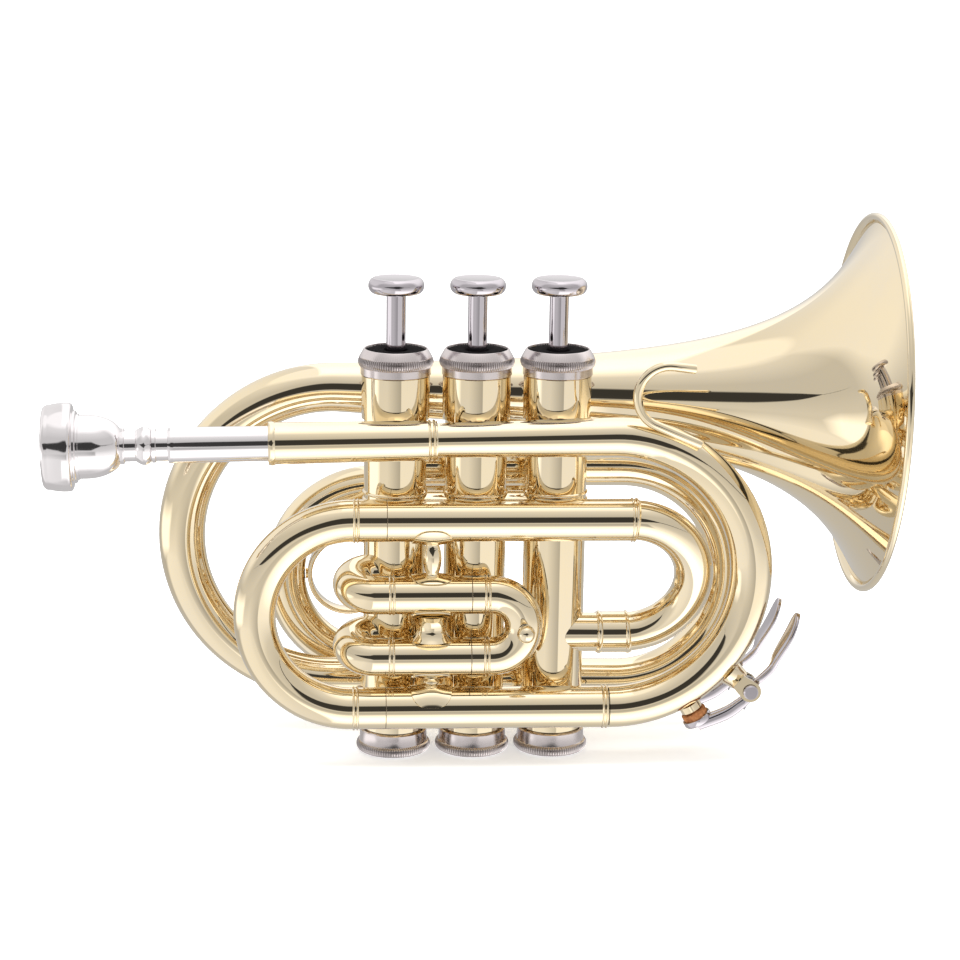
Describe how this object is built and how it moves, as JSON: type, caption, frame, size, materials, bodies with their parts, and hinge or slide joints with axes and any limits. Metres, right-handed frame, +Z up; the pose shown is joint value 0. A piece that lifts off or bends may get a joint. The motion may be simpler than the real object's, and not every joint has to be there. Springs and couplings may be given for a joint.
{
  "type": "pocket trumpet",
  "caption": "Pocket trumpet in lacquered yellow brass with a full-size bell, piston valves, sprung finger buttons, pull-out slides, two water keys and a silver mouthpiece.",
  "frame": {"origin": "The middle of the second valve's bottom cap, on its flat lower face", "axes": "+X runs along the bell to its rim, +Z runs up the valves to the finger buttons, and +Y points away from the leadpipe to the bell side"},
  "size_m": [0.2617, 0.1216, 0.1681],
  "materials": {
    "lacquered_brass": "clear lacquer over polished yellow brass",
    "silver_plate": "silver plate, mirror polished, over turned brass",
    "nickel_plate": "nickel plate over turned or cast brass, fine knurling on the caps",
    "black_felt": "pressed black wool felt",
    "cork": "fine natural cork",
    "spring_steel": "drawn spring wire"
  },
  "bodies": {
    "trumpet_body": {"receiver": "lacquered_brass", "leadpipe_bow": "lacquered_brass", "lower_run": "lacquered_brass", "upper_run": "lacquered_brass", "small_bow": "lacquered_brass", "casing_1": "lacquered_brass", "top_cap_1": "nickel_plate", "cap_felt_1": "black_felt", "bottom_cap_1": "nickel_plate", "valve_guide_1": "nickel_plate", "casing_2": "lacquered_brass", "top_cap_2": "nickel_plate", "cap_felt_2": "black_felt", "bottom_cap_2": "nickel_plate", "valve_guide_2": "nickel_plate", "casing_3": "lacquered_brass", "top_cap_3": "nickel_plate", "cap_felt_3": "black_felt", "bottom_cap_3": "nickel_plate", "valve_guide_3": "nickel_plate", "first_tube_upper": "lacquered_brass", "first_tube_lower": "lacquered_brass", "second_tube_upper": "lacquered_brass", "second_tube_lower": "lacquered_brass", "third_tube_upper": "lacquered_brass", "third_tube_lower": "lacquered_brass", "rear_bow": "lacquered_brass", "bell": "lacquered_brass", "upper_brace": "lacquered_brass", "middle_brace": "lacquered_brass", "lower_brace": "lacquered_brass", "bell_brace": "lacquered_brass", "rear_brace": "lacquered_brass", "pinky_hook": "lacquered_brass", "key_post_front": "lacquered_brass", "key_screw_front": "nickel_plate", "key_spring_front": "spring_steel", "key_post_rear": "lacquered_brass", "key_screw_rear": "nickel_plate", "key_spring_rear": "spring_steel"},
    "valve_1": {"piston_1": "nickel_plate", "finger_button_1": "nickel_plate", "valve_spring_1": "spring_steel"},
    "valve_2": {"piston_2": "nickel_plate", "finger_button_2": "nickel_plate", "valve_spring_2": "spring_steel"},
    "valve_3": {"piston_3": "nickel_plate", "finger_button_3": "nickel_plate", "valve_spring_3": "spring_steel"},
    "mouthpiece": {"mouthpiece": "silver_plate"},
    "tuning_slide": {"tuning_slide": "lacquered_brass"},
    "first_slide": {"first_slide": "lacquered_brass", "first_slide_knob": "lacquered_brass"},
    "second_slide": {"second_slide": "lacquered_brass"},
    "third_slide": {"third_slide": "lacquered_brass", "third_slide_ring": "lacquered_brass"},
    "water_key_front": {"water_key_front": "nickel_plate", "key_cork_front": "cork"},
    "water_key_rear": {"water_key_rear": "nickel_plate", "key_cork_rear": "cork"}
  },
  "joints": [
    {"name": "valve_1_stroke", "type": "slide", "parent": "trumpet_body", "child": "valve_1", "axis": [0, 0, -1], "range_m": [0, 0.017], "stiffness_N_per_m": 150, "springref_m": -0.02, "deforming": ["valve_spring_1"]},
    {"name": "valve_2_stroke", "type": "slide", "parent": "trumpet_body", "child": "valve_2", "axis": [0, 0, -1], "range_m": [0, 0.017], "stiffness_N_per_m": 150, "springref_m": -0.02, "deforming": ["valve_spring_2"]},
    {"name": "valve_3_stroke", "type": "slide", "parent": "trumpet_body", "child": "valve_3", "axis": [0, 0, -1], "range_m": [0, 0.017], "stiffness_N_per_m": 150, "springref_m": -0.02, "deforming": ["valve_spring_3"]},
    {"name": "mouthpiece_pull", "type": "slide", "parent": "trumpet_body", "child": "mouthpiece", "axis": [-0.9998, 0, -0.0175], "range_m": [0, 0.024]},
    {"name": "tuning_slide_pull", "type": "slide", "parent": "trumpet_body", "child": "tuning_slide", "axis": [-1, 0, 0], "range_m": [0, 0.025]},
    {"name": "first_slide_pull", "type": "slide", "parent": "trumpet_body", "child": "first_slide", "axis": [1, 0, 0], "range_m": [0, 0.015]},
    {"name": "second_slide_pull", "type": "slide", "parent": "trumpet_body", "child": "second_slide", "axis": [0, 1, 0], "range_m": [0, 0.01]},
    {"name": "third_slide_pull", "type": "slide", "parent": "trumpet_body", "child": "third_slide", "axis": [-1, 0, 0], "range_m": [0, 0.02]},
    {"name": "water_key_front_hinge", "type": "hinge", "parent": "trumpet_body", "child": "water_key_front", "pos_m": [0.08521, -0.0171, 0.02468], "axis": [0, -1, 0], "range_deg": [0, 16], "stiffness_Nm_per_rad": 0.03, "springref_deg": -34.38},
    {"name": "water_key_rear_hinge", "type": "hinge", "parent": "trumpet_body", "child": "water_key_rear", "pos_m": [0.08696, 0.02237, 0.0181], "axis": [0, -1, 0], "range_deg": [0, 16], "stiffness_Nm_per_rad": 0.03, "springref_deg": -34.38}
  ]
}
